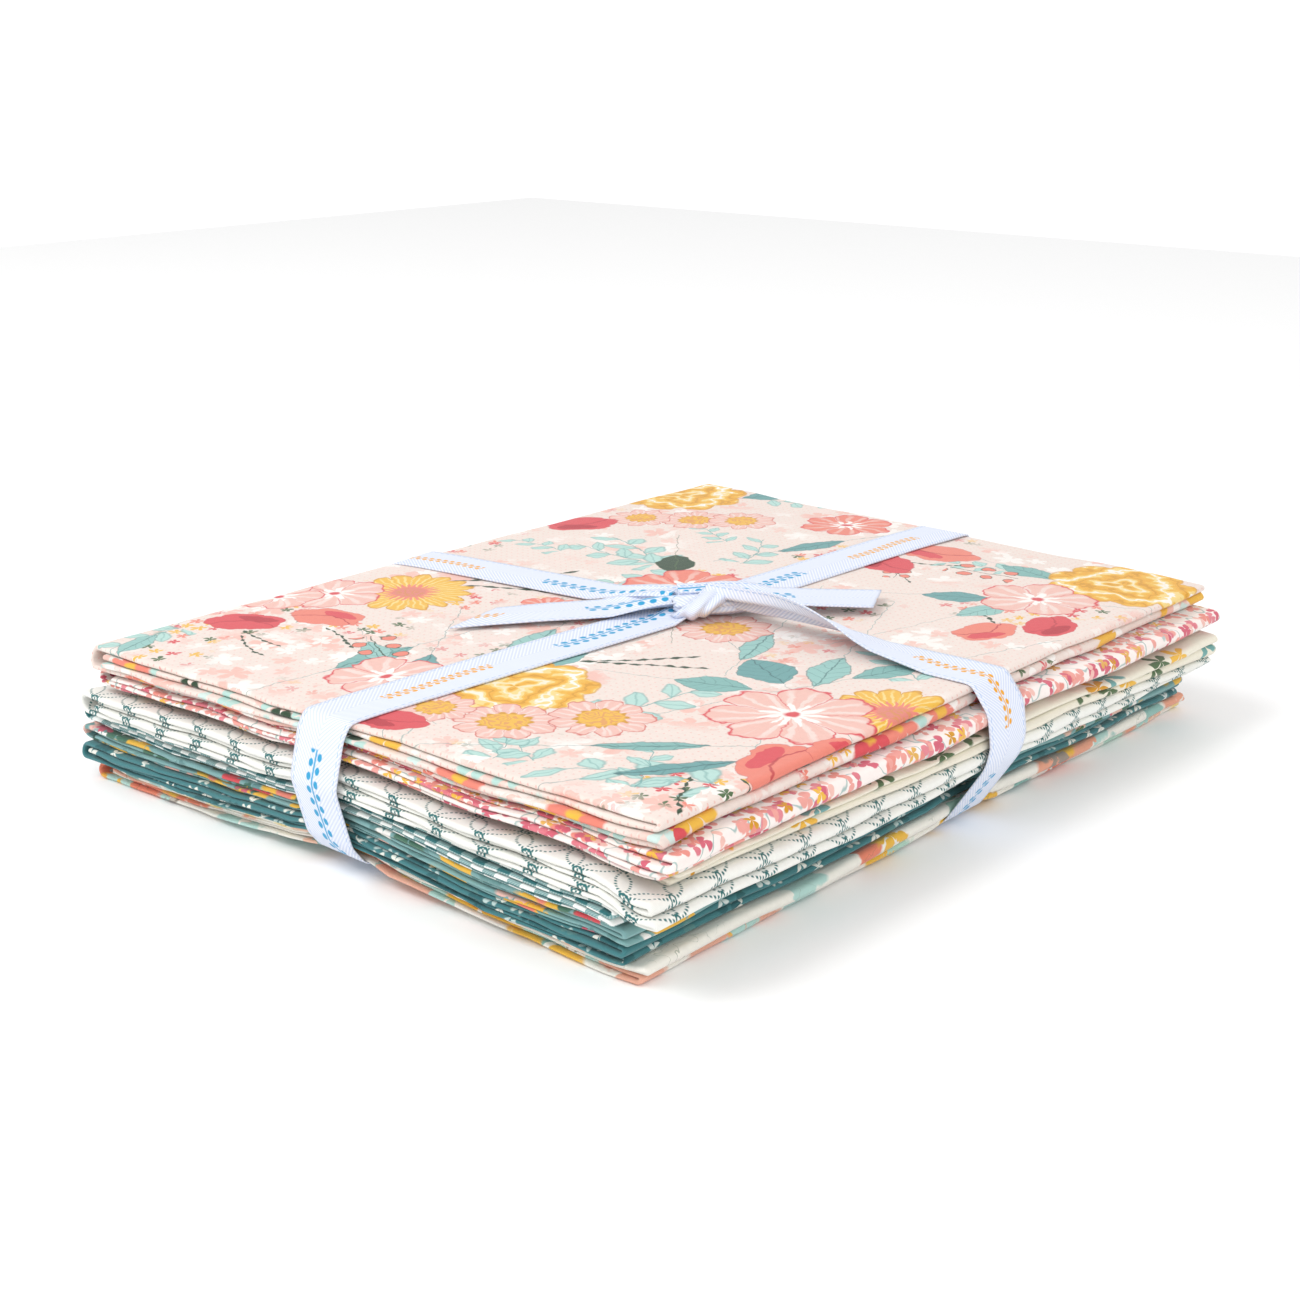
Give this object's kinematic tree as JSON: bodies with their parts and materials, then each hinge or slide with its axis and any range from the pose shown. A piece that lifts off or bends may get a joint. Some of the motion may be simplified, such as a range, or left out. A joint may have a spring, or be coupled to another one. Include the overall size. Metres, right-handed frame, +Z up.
{
  "type": "folded fabric cut bundle",
  "caption": "Flat stack of folded printed cotton fabric cuts, tied crosswise with one woven ribbon that is knotted on top.",
  "frame": {"origin": "centre of the bundle's outline, at its underside", "axes": "+X along the long side of the cuts, +Y from their paired front folds towards their single back fold, +Z up out of the stack, through the knot's side"},
  "size_m": [0.2968, 0.2518, 0.0568],
  "materials": {
    "cloth_1_blush_floral": "printed plain-weave cotton, matte",
    "cloth_2_ditsy_floral": "printed plain-weave cotton, matte",
    "cloth_3_ivory": "printed plain-weave cotton, matte",
    "cloth_4_dotted_arcs": "printed plain-weave cotton, matte",
    "cloth_5_gingham": "printed plain-weave cotton, matte",
    "cloth_6_sage_floral": "printed plain-weave cotton, matte",
    "cloth_7_dark_teal": "printed plain-weave cotton, matte",
    "cloth_8_large_floral": "printed plain-weave cotton, matte",
    "ribbon": "white herringbone twill tape, soft sheen"
  },
  "bodies": {
    "root": {"cut_1_blush_floral": "cloth_1_blush_floral", "cut_2_ditsy_floral": "cloth_2_ditsy_floral", "cut_3_ivory": "cloth_3_ivory", "cut_4_dotted_arcs": "cloth_4_dotted_arcs", "cut_5_gingham": "cloth_5_gingham", "cut_6_sage_floral": "cloth_6_sage_floral", "cut_7_dark_teal": "cloth_7_dark_teal", "cut_8_large_floral": "cloth_8_large_floral", "ribbon_wrap": "ribbon", "ribbon_knot": "ribbon", "ribbon_tail_left": "ribbon", "ribbon_tail_right": "ribbon"}
  },
  "joints": []
}
